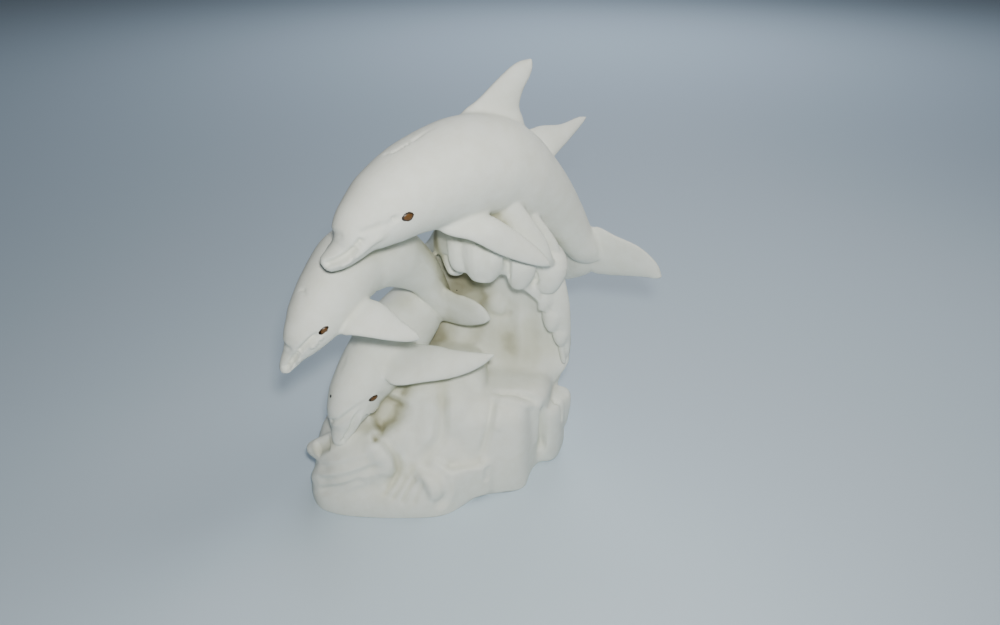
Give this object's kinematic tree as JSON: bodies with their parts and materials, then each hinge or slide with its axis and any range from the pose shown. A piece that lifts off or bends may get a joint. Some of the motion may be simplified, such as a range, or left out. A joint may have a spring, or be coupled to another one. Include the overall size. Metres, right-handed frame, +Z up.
{
  "type": "dolphin sculpture",
  "caption": "Tabletop bisque porcelain sculpture of leaping dolphins arched over a curling wave on a rocky swirl base, resting on its flat underside.",
  "frame": {"origin": "middle of the bounding box, on the flat underside", "axes": "+Z up, +Y from the side where the wave opens towards its back, +X to the right, towards the top dolphin's tail"},
  "size_m": [0.2162, 0.1454, 0.25],
  "materials": {
    "bisque": "matt unglazed bisque"
  },
  "bodies": {
    "root": {"dolphin_sculpture": "bisque"}
  },
  "joints": []
}
